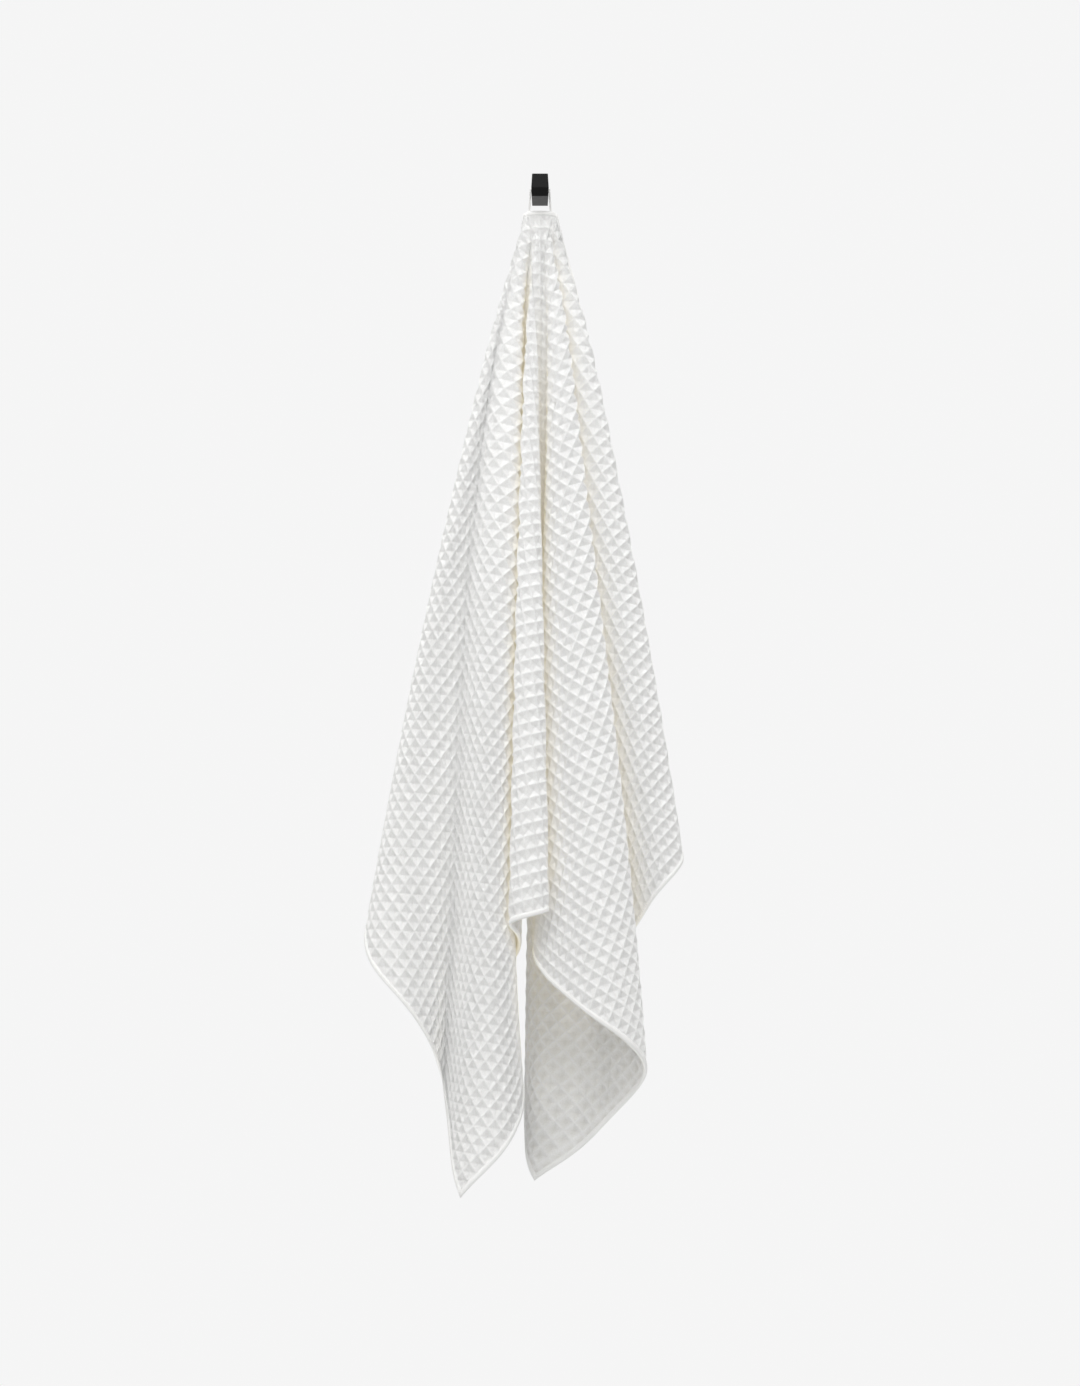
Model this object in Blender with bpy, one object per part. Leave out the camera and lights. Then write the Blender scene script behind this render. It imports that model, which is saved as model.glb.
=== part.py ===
"""Bath towel of waffle cloth, hung by its sewn loop from a square wall hook.

Metres, +Z up. The wall is the plane y = 0 and everything stands in front of it, towards -Y. The origin is
the centre of the hook's wall face.

The towel is one rectangular sheet held at one point, the middle of a long edge. Its straight lines of pull
run from that point to the hem, so a line is named by its angle in the flat cloth, 0 along the right half of
the held edge, 90 straight across to the far edge and 180 along the left half. FOLD_LINES says where the
lines hang.
"""
import math

import bmesh
import bpy
import numpy as np

MM = 0.001

# Towel, flat: the held edge is TOWEL_LENGTH long and the cloth reaches TOWEL_DROP across from it. Its own
# weight stretches it along the diagonals of the weave, by these shares in the right and the left half.
TOWEL_DROP = 0.710
TOWEL_LENGTH = 1.280
CLOTH_THICKNESS = 0.0030
HEM_THICKNESS = 0.0036
HEM_WIDTH = 0.006
BIAS_STRETCH = (0.043, 0.051)
GATHER_HALF_WIDTH = 0.0165
TOWEL_TOP = (0.0, -0.030, -0.017)

# Each row is one line of pull: its angle in the flat cloth, how far it hangs to the right of the hook at
# 350, 700 and 930 mm below the held edge, its place in front of the wall at 700 mm, and how far it bows out
# sideways near the top. All lengths here are in millimetres.
FOLD_LINES = (
    # angle  x350  x700  x930  y700  bow
    (180.0,  -4,   -2,    0,  -14, -12),
    (177.3, -12,  -16,  -20,  -30, -10),
    (174.9, -22,  -36,  -44,  -11,  -8),
    (172.2, -34,  -60,  -76,  -25,  -6),
    (169.2, -50,  -88, -112,  -11,  -4),
    (167.1, -62, -110, -142,  -14,  -4),
    (161.8, -69, -119, -151,  -70,  -4),
    (160.5, -76, -131, -165,  -72,  -4),
    (155.2, -82, -140, -180,  -15,  -3),
    (153.5, -92, -157, -198,  -18,  -3),
    (150.0, -99, -169, -208,  -52,  -3),
    (147.0, -97, -161, -186,  -84,  -3),
    (144.0, -87, -134, -122,  -99,  -2),
    (141.0, -79, -108, -105,  -99,  -1),
    (138.4, -71,  -90,  -99,  -91,   0),
    (136.0, -65,  -79,  -91,  -98,   0),
    (134.0, -59,  -71,  -84, -110,   0),
    (132.3, -53,  -65,  -77, -120,   0),
    (130.8, -46,  -55,  -60, -126,  -1),
    (129.2, -38,  -43,  -38, -128,  -2),
    (127.6, -29,  -34,  -24, -125,  -4),
    (125.8, -21,  -28,  -14, -117,  -5),
    (123.5, -17,  -26,  -12, -102,  -6),
    (120.5, -26,  -46,  -40,  -78,  -6),
    (117.5, -42,  -72,  -74,  -60,  -5),
    (115.0, -38,  -65,  -66,  -43,  -4),
    (112.3, -24,  -42,  -42,  -49,  -4),
    (109.0, -12,  -24,  -24,  -72,  -3),
    (106.5,  -9,  -19,  -20,  -99,  -3),
    (104.3, -11,  -20,  -22, -119,  -4),
    (103.0, -18,  -26,  -31, -130,  -5),
    (101.6, -25,  -34,  -40, -137,  -5),
    ( 99.4, -12,  -11,  -12, -143,  -5),
    ( 97.2,   3,   12,   15, -139,  -4),
    ( 95.2,   1,    2,    3, -127,  -4),
    ( 93.2,  -1,   -8,   -9, -115,  -3),
    ( 91.5,  -3,  -13,  -15,  -97,  -3),
    ( 88.5,  -2,  -12,  -13,  -76,  -2),
    ( 84.0,  15,   24,   26,  -73,   0),
    ( 80.0,  28,   50,   56,  -85,   0),
    ( 77.0,  19,   29,   31, -101,   0),
    ( 74.5,   8,    6,    6,  -92,   0),
    ( 72.3,   4,   -7,   -8,  -98,   0),
    ( 69.5,   5,   -2,   -2, -109,   2),
    ( 67.5,   9,    7,    6, -116,   4),
    ( 65.0,  15,   24,   28, -126,   6),
    ( 62.3,  26,   44,   57, -132,   7),
    ( 60.0,  37,   68,   86, -128,   7),
    ( 57.6,  50,   88,  107, -114,   7),
    ( 56.3,  55,   94,  111, -100,   6),
    ( 55.0,  51,   88,  103,  -86,   5),
    ( 53.5,  43,   75,   84,  -76,   3),
    ( 52.0,  35,   60,   65,  -69,   1),
    ( 50.2,  25,   42,   44,  -62,   0),
    ( 48.8,  17,   26,   17,  -56,   0),
    ( 47.6,  10,   12,   -9,  -51,   0),
    ( 46.0,   0,   -6,  -13,  -47,   0),
    ( 44.0,  -4,  -14,  -16,  -38,   0),
    ( 42.0,   2,   -6,   -8,  -28,   0),
    ( 39.6,  10,   14,   14,  -30,   0),
    ( 36.8,  20,   31,   34,  -53,   0),
    ( 34.2,  30,   48,   56,  -46,   2),
    ( 31.4,  42,   71,   82,  -69,   4),
    ( 29.4,  50,   86,  101,  -68,   5),
    ( 27.9,  57,   97,  114,  -75,   5),
    ( 26.0,  64,  107,  126,  -79,   5),
    ( 24.4,  71,  117,  138,  -81,   5),
    ( 22.8,  79,  129,  153,  -78,   5),
    ( 21.3,  87,  142,  171,  -70,   5),
    ( 20.0,  92,  150,  180,  -56,   5),
    ( 18.1,  91,  148,  178,  -38,   5),
    ( 15.7,  80,  130,  156,  -28,   4),
    ( 14.0,  71,  114,  138,  -27,   3),
    ( 11.6,  61,   99,  121,  -38,   3),
    (  9.4,  50,   84,  104,  -36,   3),
    (  6.6,  41,   67,   82,  -22,   3),
    (  4.2,  43,   71,   86,  -12,   6),
    (  2.0,  52,   86,  104,  -15,  10),
    (  0.0,  64,  106,  128,  -11,  12),
)
LINE_LEVELS = (0.0, 0.350, 0.700, 0.930)
DEPTH_LEVEL = 0.700
DEPTH_AT_TOP = 0.060
BOW_LEVEL = 0.130

# Hook: a square arm out of the wall with a short upturned tip, whose front is creased across.
ARM_HEIGHT = 0.010
HOOK_EDGE = 0.0006
EDGE_STEPS = 2
EDGE_TURN = math.radians(12.0)
# Each row is one corner of the hook's side view, in millimetres: in front of the wall, height, full width.
HOOK_OUTLINE = (
    # front  height  width
    ( 0.0,   -5.0,   16.2),
    (52.5,   -5.0,   17.1),
    (56.0,    3.0,   17.9),
    (53.5,   17.7,   16.1),
    (48.0,   17.7,   16.1),
    (46.5,    5.0,   17.2),
    ( 0.0,    5.0,   16.2),
)

# Hanging loop: a narrow tape on edge, sewn by its two ends to the held edge and passed over the arm.
TAPE_THICKNESS = 0.0018
TAPE_WIDTH = 0.0065
LOOP_FOOT_HALF = 0.0110
LOOP_MIDDLE_HALF = 0.0104
LOOP_TOP_HALF = 0.0098
LOOP_TOP_RADIUS = 0.0015
SEAT_GAP = 0.0003
FOOT_GAP = 0.0005
LOOP_CORNER_STEPS = 6

# A fold can't be tighter than this: the softening grows towards the held edge, where the cloth bunches.
FOLD_SOFTNESS = math.radians(0.75)
BUNCH_RADIUS = 0.006
BUNCH_START = 0.014

ANGLE_STEPS = 1440
REACH_STEPS = 102
LONGEST_REACH = 1.020
# The sheet's columns follow the lines of pull: a new one for each COLUMN_PACE walked along the folds and
# for each COLUMN_TURN of bend. Its rows crowd towards the held edge.
SHEET_COLUMNS = 128
COLUMN_PACE = 0.014
COLUMN_TURN = 0.35
SHEET_ROWS = 14
ROW_CROWDING = 1.35
# Inside a tight bend the cloth is squeezed: its face stays within this share of the bend's radius.
INNER_SHARE = 0.5
SHARP_EDGE = math.radians(55.0)
LENGTH_NODES = 20
NORMAL_STEP = 0.0008
TINY = 1e-9


def shifted_rows(values, softness):
    """Values along the angles, averaged over a bell of the given width; the two ends stay where they are."""
    step = math.pi / ANGLE_STEPS
    half = int(math.ceil(3.0 * softness / step))
    bell = np.exp(-0.5 * (np.arange(-half, half + 1) * step / softness) ** 2)
    before = 2.0 * values[0] - values[half:0:-1]
    after = 2.0 * values[-1] - values[-2:-half - 2:-1]
    return np.convolve(np.concatenate((before, values, after)), bell / bell.sum(), mode="valid")


def line_weights(reach):
    """Shares of the four LINE_LEVELS in a smooth curve through them, at one reach."""
    shares = []
    for own in LINE_LEVELS:
        share = 1.0
        for other in LINE_LEVELS:
            if other != own:
                share *= (reach - other) / (own - other)
        shares.append(share)
    return shares


def fold_plan():
    """Across and depth places of every line of pull, for a row of reaches from the held edge down."""
    table = np.array(FOLD_LINES)[::-1]
    angles = np.linspace(0.0, math.pi, ANGLE_STEPS + 1)
    row_angles = np.radians(table[:, 0])
    x350, x700, x930, y700, bow = (np.interp(angles, row_angles, table[:, c] * MM) for c in range(1, 6))
    held_x = GATHER_HALF_WIDTH * np.cos(angles)
    across, depth = [], []
    for reach in np.linspace(0.0, LONGEST_REACH, REACH_STEPS + 1):
        shares = line_weights(reach)
        hang = shares[0] * held_x + shares[1] * x350 + shares[2] * x700 + shares[3] * x930
        near_top = reach / BOW_LEVEL
        hang = hang + bow * near_top ** 2 * math.exp(2.0 - 2.0 * near_top)
        softness = math.hypot(FOLD_SOFTNESS, BUNCH_RADIUS / (reach + BUNCH_START))
        across.append(held_x + shifted_rows(hang - held_x, softness))
        spread = (reach + DEPTH_AT_TOP) / (DEPTH_LEVEL + DEPTH_AT_TOP)
        depth.append(TOWEL_TOP[1] + spread * shifted_rows(y700 - TOWEL_TOP[1], softness))
    return np.array(across), np.array(depth)


ACROSS_PLAN, DEPTH_PLAN = fold_plan()


def read_plan(plan, reach, angle):
    """Value of a plan between its reaches and angles."""
    row = np.clip(reach / LONGEST_REACH * REACH_STEPS, 0.0, REACH_STEPS - TINY)
    column = np.clip(angle / math.pi * ANGLE_STEPS, 0.0, ANGLE_STEPS - TINY)
    r0, c0 = row.astype(int), column.astype(int)
    fr, fc = row - r0, column - c0
    upper = plan[r0, c0] * (1.0 - fc) + plan[r0, c0 + 1] * fc
    lower = plan[r0 + 1, c0] * (1.0 - fc) + plan[r0 + 1, c0 + 1] * fc
    return upper * (1.0 - fr) + lower * fr


def pull_lines(u, v):
    """Angle and length of the line of pull that reaches the flat cloth's point (u, v).

    The loop holds a short stretch of the edge, so the lines start side by side along it and fan out.
    """
    fan = np.arccosh((u + 1j * v) / GATHER_HALF_WIDTH + 0j)
    run, angle = np.abs(fan.real), np.abs(fan.imag)
    nodes, shares = np.polynomial.legendre.leggauss(LENGTH_NODES)
    length = np.zeros_like(run)
    for node, share in zip(nodes, shares):
        at = 0.5 * run * (node + 1.0)
        length += 0.5 * run * share * np.sqrt(np.sinh(at) ** 2 + np.sin(angle) ** 2)
    stretch = np.where(angle < 0.5 * math.pi, BIAS_STRETCH[0], BIAS_STRETCH[1])
    return angle, GATHER_HALF_WIDTH * length * (1.0 + stretch * np.sin(2.0 * angle) ** 2)


def towel_points(u, v):
    """Hung places of the flat cloth's points (u, v)."""
    angle, reach = pull_lines(u, v)
    x = read_plan(ACROSS_PLAN, reach, angle)
    y = read_plan(DEPTH_PLAN, reach, angle)
    start = np.zeros_like(reach)
    away_x = x - read_plan(ACROSS_PLAN, start, angle)
    away_y = y - read_plan(DEPTH_PLAN, start, angle)
    drop = np.sqrt(np.maximum(reach ** 2 - away_x ** 2 - away_y ** 2, 0.0))
    return np.stack((x + TOWEL_TOP[0], y, TOWEL_TOP[2] - drop), axis=-1)


def column_angles():
    """Angles of the sheet's columns, closest together where its section at DEPTH_LEVEL turns most."""
    angles = np.linspace(0.0, math.pi, ANGLE_STEPS + 1)
    level = np.full(ANGLE_STEPS + 1, DEPTH_LEVEL)
    across, behind = (np.gradient(read_plan(plan, level, angles)) for plan in (ACROSS_PLAN, DEPTH_PLAN))
    heading = np.unwrap(np.arctan2(behind, across))
    pace = np.hypot(behind, across) / COLUMN_PACE + np.abs(np.gradient(heading)) / COLUMN_TURN
    walked = np.concatenate(([0.0], np.cumsum(pace[1:])))
    chosen = np.interp(np.linspace(0.0, walked[-1], SHEET_COLUMNS), walked, angles)
    corner = np.arccosh((0.5 * TOWEL_LENGTH + 1j * TOWEL_DROP) / GATHER_HALF_WIDTH + 0j).imag
    for target in (corner, math.pi - corner):
        chosen[np.abs(chosen - target).argmin()] = target
    return chosen


def flat_grid():
    """Flat cloth points, column by column along the lines of pull, from the held edge to the hem."""
    rows = np.linspace(0.0, 1.0, SHEET_ROWS) ** ROW_CROWDING
    u, v = [], []
    for angle in column_angles():
        to_side = 0.5 * TOWEL_LENGTH / max(GATHER_HALF_WIDTH * abs(math.cos(angle)), TINY)
        to_far = TOWEL_DROP / max(GATHER_HALF_WIDTH * math.sin(angle), TINY)
        longest = min(math.acosh(max(to_side, 1.0)), math.asinh(to_far))
        run = np.arccosh(1.0 + (math.cosh(longest) - 1.0) * rows)
        u.append(GATHER_HALF_WIDTH * np.cosh(run) * math.cos(angle))
        v.append(GATHER_HALF_WIDTH * np.sinh(run) * math.sin(angle))
    return np.array(u), np.array(v)


def sheet_normals(u, v):
    """Unit normals of the hung cloth, from short steps in the flat cloth."""
    half = 0.5 * TOWEL_LENGTH
    u0, u1 = np.clip(u - NORMAL_STEP, -half, half), np.clip(u + NORMAL_STEP, -half, half)
    v0, v1 = np.clip(v - NORMAL_STEP, 0.0, TOWEL_DROP), np.clip(v + NORMAL_STEP, 0.0, TOWEL_DROP)
    along = towel_points(u1, v) - towel_points(u0, v)
    down = towel_points(u, v1) - towel_points(u, v0)
    normal = np.cross(down, along)
    return normal / np.linalg.norm(normal, axis=-1, keepdims=True)


def fold_bend(middle, normal):
    """Bend of the cloth, 1 / radius, on both sides of every column, positive where it bulges to the normal."""
    step, turn = np.diff(middle, axis=0), np.diff(normal, axis=0)
    bend = np.sum(step * turn, axis=-1) / np.maximum(np.sum(step * step, axis=-1), TINY)
    flat = np.zeros((1, bend.shape[1]))
    return np.concatenate((flat, bend, flat))


def build_towel():
    u, v = flat_grid()
    middle, normal = towel_points(u, v), sheet_normals(u, v)
    to_edge = np.minimum(np.minimum(v, TOWEL_DROP - v), 0.5 * TOWEL_LENGTH - np.abs(u))
    half = np.where(to_edge < HEM_WIDTH, 0.5 * HEM_THICKNESS, 0.5 * CLOTH_THICKNESS)
    bend = fold_bend(middle, normal)
    sides = []
    for facing in (-1.0, 1.0):
        pinch = np.maximum(np.maximum(-facing * bend[:-1], -facing * bend[1:]), TINY)
        sides.append(middle + facing * normal * np.minimum(half, INNER_SHARE / pinch)[..., None])
    columns, rows = u.shape
    verts = np.concatenate([side.reshape(-1, 3) for side in sides])
    back = columns * rows
    faces = []
    for c in range(columns - 1):
        for r in range(rows - 1):
            a, b = c * rows + r, (c + 1) * rows + r
            faces.append((a, a + 1, b + 1, b))
            faces.append((back + b, back + b + 1, back + a + 1, back + a))
    rim = [c * rows for c in range(columns)]
    rim += [(columns - 1) * rows + r for r in range(1, rows)]
    rim += [c * rows + rows - 1 for c in range(columns - 2, -1, -1)]
    rim += [r for r in range(rows - 2, 0, -1)]
    for i, a in enumerate(rim):
        b = rim[(i + 1) % len(rim)]
        faces.append((a, b, back + b, back + a))
    return make_object("towel", verts, faces, cloth_material())


def loop_path():
    """Middle line of the tape, (x, z), from its left foot over the arm to its right foot."""
    foot = TOWEL_TOP[2] + FOOT_GAP
    crown = 0.5 * ARM_HEIGHT + SEAT_GAP + 0.5 * TAPE_THICKNESS
    shoulder = crown - LOOP_TOP_RADIUS
    path = [(-LOOP_FOOT_HALF, foot), (-LOOP_MIDDLE_HALF, 0.5 * (foot + shoulder))]
    for side in (-1, 1):
        centre = side * (LOOP_TOP_HALF - LOOP_TOP_RADIUS)
        for i in range(LOOP_CORNER_STEPS + 1):
            turn = 0.5 * math.pi * i / LOOP_CORNER_STEPS
            turn = turn if side < 0 else 0.5 * math.pi - turn
            across = centre + side * LOOP_TOP_RADIUS * math.cos(turn)
            path.append((across, shoulder + LOOP_TOP_RADIUS * math.sin(turn)))
    path += [(LOOP_MIDDLE_HALF, 0.5 * (foot + shoulder)), (LOOP_FOOT_HALF, foot)]
    return np.array(path)


def build_loop():
    path = loop_path()
    along = np.gradient(path, axis=0)
    along /= np.linalg.norm(along, axis=1, keepdims=True)
    side = np.stack((-along[:, 1], along[:, 0]), axis=1) * 0.5 * TAPE_THICKNESS
    side[0], side[-1] = (-0.5 * TAPE_THICKNESS, 0.0), (0.5 * TAPE_THICKNESS, 0.0)
    near, far = TOWEL_TOP[1] - 0.5 * TAPE_WIDTH, TOWEL_TOP[1] + 0.5 * TAPE_WIDTH
    verts = []
    for (x, z), (dx, dz) in zip(path, side):
        outer, inner = (x + dx, z + dz), (x - dx, z - dz)
        verts += [(px, y, pz) for (px, pz), y in ((outer, near), (inner, near), (inner, far), (outer, far))]
    faces = [(0, 1, 2, 3)]
    for i in range(len(path) - 1):
        for k in range(4):
            a, b = 4 * i + k, 4 * i + (k + 1) % 4
            faces.append((a, a + 4, b + 4, b))
    last = 4 * (len(path) - 1)
    faces.append((last + 3, last + 2, last + 1, last))
    return make_object("hanging_loop", verts, faces, surface("white_cotton_tape", (0.84, 0.84, 0.82), 0.8))


def build_hook():
    verts, faces = [], []
    for side in (-0.5, 0.5):
        verts += [(side * width * MM, -front * MM, height * MM) for front, height, width in HOOK_OUTLINE]
    count = len(HOOK_OUTLINE)
    faces.append(tuple(range(count)))
    faces.append(tuple(range(2 * count - 1, count - 1, -1)))
    for i in range(count):
        j = (i + 1) % count
        faces.append((i, i + count, j + count, j))
    hook = make_object("hook", verts, faces, surface("black_painted_metal", (0.02, 0.02, 0.02), 0.45), soft=False)
    edges = hook.modifiers.new("soft_edges", "BEVEL")
    edges.width = HOOK_EDGE
    edges.segments = EDGE_STEPS
    edges.limit_method = "ANGLE"
    edges.angle_limit = EDGE_TURN
    return hook


def make_object(name, verts, faces, material, soft=True):
    mesh = bpy.data.meshes.new(name)
    mesh.from_pydata([tuple(p) for p in verts], [], faces)
    mesh.validate()
    edit = bmesh.new()
    edit.from_mesh(mesh)
    bmesh.ops.recalc_face_normals(edit, faces=edit.faces)
    bmesh.ops.triangulate(edit, faces=edit.faces)
    edit.to_mesh(mesh)
    edit.free()
    mesh.materials.append(material)
    if soft:
        mesh.polygons.foreach_set("use_smooth", [True] * len(mesh.polygons))
        mesh.set_sharp_from_angle(angle=SHARP_EDGE)
    thing = bpy.data.objects.new(name, mesh)
    bpy.context.scene.collection.objects.link(thing)
    return thing


def surface(name, colour, roughness, metallic=0.0):
    material = bpy.data.materials.new(name)
    material.use_nodes = True
    shader = material.node_tree.nodes["Principled BSDF"]
    shader.inputs["Base Color"].default_value = (*colour, 1.0)
    shader.inputs["Roughness"].default_value = roughness
    shader.inputs["Metallic"].default_value = metallic
    return material


def cloth_material():
    return surface("white_waffle_cotton", (0.86, 0.86, 0.84), 0.9)


for leftover in list(bpy.data.objects):
    bpy.data.objects.remove(leftover, do_unlink=True)

build_hook()
build_loop()
build_towel()
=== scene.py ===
"""Dressed bath towel of waffle cloth, hung by its loop from a square black wall hook.

Metres, +Z up, in the frame of the solids: the wall is y = 0, the camera looks along +Y and the origin is
the centre of the hook's wall face.
"""
import math

import bmesh
import bpy
import numpy as np
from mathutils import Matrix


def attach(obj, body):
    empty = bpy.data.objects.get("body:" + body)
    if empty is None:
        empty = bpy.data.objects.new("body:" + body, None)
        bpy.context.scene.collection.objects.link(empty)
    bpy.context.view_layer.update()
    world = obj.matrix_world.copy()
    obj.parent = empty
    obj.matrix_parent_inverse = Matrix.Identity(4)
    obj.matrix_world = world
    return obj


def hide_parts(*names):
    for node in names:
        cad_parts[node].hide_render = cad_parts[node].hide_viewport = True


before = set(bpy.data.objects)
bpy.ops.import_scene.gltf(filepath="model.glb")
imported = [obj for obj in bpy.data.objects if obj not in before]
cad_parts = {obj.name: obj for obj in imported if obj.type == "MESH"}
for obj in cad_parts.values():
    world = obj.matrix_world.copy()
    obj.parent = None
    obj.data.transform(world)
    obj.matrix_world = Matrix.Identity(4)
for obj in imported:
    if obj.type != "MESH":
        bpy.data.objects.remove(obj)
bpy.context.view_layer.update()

MM = 0.001
TINY = 1e-9

# Camera: straight on, at the distance that the hook's underside and the lobes' perspective give.
CAMERA_DISTANCE = 2.600
CAMERA_HEIGHT = -0.5115
FOCAL_PIXELS = 2500.0
IMAGE_HEIGHT = 1386.0
SENSOR = 36.0
CLIP_START = 0.05

# Towel, flat, as the solid has it. The loop holds a short stretch in the middle of one long edge.
TOWEL_DROP = 0.710
TOWEL_LENGTH = 1.280
BIAS_STRETCH = (0.043, 0.051)
GATHER_HALF_WIDTH = 0.0165
TOWEL_TOP = (0.0, -0.030, -0.017)

# Waffle cells between the hems, and how far each point of a cell stands out of the middle of the cloth.
CELLS_LONG = 104
CELLS_SHORT = 57
CELL_SIZE = 0.01228
RIDGE_CROSSING = 0.00220
RIDGE_MIDDLE = 0.00193
CELL_FLOOR = -0.00117
# The cloth is nowhere thinner than this.
THINNEST = 0.0005
# On the inside of a bend the relief stays within this share of the radius.
INNER_SHARE = 0.5
# Near the held edge the bunched cloth is squeezed and its relief is lower.
SQUEEZED_SHARE = 0.60
SQUEEZE_FROM = 0.060
SQUEEZE_TO = 0.420
# Close under the held edge the squeezed cells are drawn with a fine relief as well.
COLLAR_FROM = 0.030
COLLAR_TO = 0.110
# Hem: a narrow double band, rounded at its edge, with a groove where the waffle starts.
HEM_BAND = 0.0050
HEM_LINES = (0.0, 0.0008, 0.0041)
HEM_HEIGHTS = (0.0010, 0.0019, 0.0019)
SEAM_HEIGHT = 0.0008

# Each row is one line of pull, from the towel's left edge round to its right edge. It has the line's angle
# in the flat cloth in degrees, and in millimetres its places across at three reaches, its depth at one, and
# its bow near the top; see LINE_LEVELS, DEPTH_LEVEL and BOW_LEVEL.
FOLD_LINES = (
    # angle  x350  x700  x930  y700  bow
    (180.0,  -4,   -2,    0,  -14, -12),
    (177.3, -12,  -16,  -20,  -30, -10),
    (174.9, -22,  -36,  -44,  -11,  -8),
    (172.2, -34,  -60,  -76,  -25,  -6),
    (169.2, -50,  -88, -112,  -11,  -4),
    (167.1, -62, -110, -142,  -14,  -4),
    (161.8, -69, -119, -151,  -70,  -4),
    (160.5, -76, -131, -165,  -72,  -4),
    (155.2, -82, -140, -180,  -15,  -3),
    (153.5, -92, -157, -198,  -18,  -3),
    (150.0, -99, -169, -208,  -52,  -3),
    (147.0, -97, -161, -186,  -84,  -3),
    (144.0, -87, -134, -122,  -99,  -2),
    (141.0, -79, -108, -105,  -99,  -1),
    (138.4, -71,  -90,  -99,  -91,   0),
    (136.0, -65,  -79,  -91,  -98,   0),
    (134.0, -59,  -71,  -84, -110,   0),
    (132.3, -53,  -65,  -77, -120,   0),
    (130.8, -46,  -55,  -60, -126,  -1),
    (129.2, -38,  -43,  -38, -128,  -2),
    (127.6, -29,  -34,  -24, -125,  -4),
    (125.8, -21,  -28,  -14, -117,  -5),
    (123.5, -17,  -26,  -12, -102,  -6),
    (120.5, -26,  -46,  -40,  -78,  -6),
    (117.5, -42,  -72,  -74,  -60,  -5),
    (115.0, -38,  -65,  -66,  -43,  -4),
    (112.3, -24,  -42,  -42,  -49,  -4),
    (109.0, -12,  -24,  -24,  -72,  -3),
    (106.5,  -9,  -19,  -20,  -99,  -3),
    (104.3, -11,  -20,  -22, -119,  -4),
    (103.0, -18,  -26,  -31, -130,  -5),
    (101.6, -25,  -34,  -40, -137,  -5),
    ( 99.4, -12,  -11,  -12, -143,  -5),
    ( 97.2,   3,   12,   15, -139,  -4),
    ( 95.2,   1,    2,    3, -127,  -4),
    ( 93.2,  -1,   -8,   -9, -115,  -3),
    ( 91.5,  -3,  -13,  -15,  -97,  -3),
    ( 88.5,  -2,  -12,  -13,  -76,  -2),
    ( 84.0,  15,   24,   26,  -73,   0),
    ( 80.0,  28,   50,   56,  -85,   0),
    ( 77.0,  19,   29,   31, -101,   0),
    ( 74.5,   8,    6,    6,  -92,   0),
    ( 72.3,   4,   -7,   -8,  -98,   0),
    ( 69.5,   5,   -2,   -2, -109,   2),
    ( 67.5,   9,    7,    6, -116,   4),
    ( 65.0,  15,   24,   28, -126,   6),
    ( 62.3,  26,   44,   57, -132,   7),
    ( 60.0,  37,   68,   86, -128,   7),
    ( 57.6,  50,   88,  107, -114,   7),
    ( 56.3,  55,   94,  111, -100,   6),
    ( 55.0,  51,   88,  103,  -86,   5),
    ( 53.5,  43,   75,   84,  -76,   3),
    ( 52.0,  35,   60,   65,  -69,   1),
    ( 50.2,  25,   42,   44,  -62,   0),
    ( 48.8,  17,   26,   17,  -56,   0),
    ( 47.6,  10,   12,   -9,  -51,   0),
    ( 46.0,   0,   -6,  -13,  -47,   0),
    ( 44.0,  -4,  -14,  -16,  -38,   0),
    ( 42.0,   2,   -6,   -8,  -28,   0),
    ( 39.6,  10,   14,   14,  -30,   0),
    ( 36.8,  20,   31,   34,  -53,   0),
    ( 34.2,  30,   48,   56,  -46,   2),
    ( 31.4,  42,   71,   82,  -69,   4),
    ( 29.4,  50,   86,  101,  -68,   5),
    ( 27.9,  57,   97,  114,  -75,   5),
    ( 26.0,  64,  107,  126,  -79,   5),
    ( 24.4,  71,  117,  138,  -81,   5),
    ( 22.8,  79,  129,  153,  -78,   5),
    ( 21.3,  87,  142,  171,  -70,   5),
    ( 20.0,  92,  150,  180,  -56,   5),
    ( 18.1,  91,  148,  178,  -38,   5),
    ( 15.7,  80,  130,  156,  -28,   4),
    ( 14.0,  71,  114,  138,  -27,   3),
    ( 11.6,  61,   99,  121,  -38,   3),
    (  9.4,  50,   84,  104,  -36,   3),
    (  6.6,  41,   67,   82,  -22,   3),
    (  4.2,  43,   71,   86,  -12,   6),
    (  2.0,  52,   86,  104,  -15,  10),
    (  0.0,  64,  106,  128,  -11,  12),
)
# Reaches along a line of pull at which the rows give their places. The depth fans out from a little above
# the held edge, and the bow is fullest at its own level.
LINE_LEVELS = (0.0, 0.350, 0.700, 0.930)
DEPTH_LEVEL = 0.700
DEPTH_AT_TOP = 0.060
BOW_LEVEL = 0.130

# A fold can't be tighter than this: the softening grows towards the held edge, where the cloth bunches.
FOLD_SOFTNESS = math.radians(0.75)
BUNCH_RADIUS = 0.006
BUNCH_START = 0.014
BELL_REACH = 3.0
# Fineness of the plans that give the hung places, and of the steps along one line of pull.
ANGLE_STEPS = 1440
REACH_STEPS = 204
LONGEST_REACH = 1.020
LENGTH_NODES = 20
NORMAL_STEP = 0.0008

# Shelter: how much of the half circle level with a point of the cloth is closed off by other folds; the
# cotton's painted warm shade and painted glow follow it.
SHELTER_REACHES = 24
SHELTER_ANGLES = 360
SHELTER_RAYS = 24
SHELTER_LIFT = 0.0022
# The back of the cloth faces the open inside of the lobes, so it gets less of the painted warm shade and
# painted glow.
BACK_SHELTER = 0.85
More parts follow.
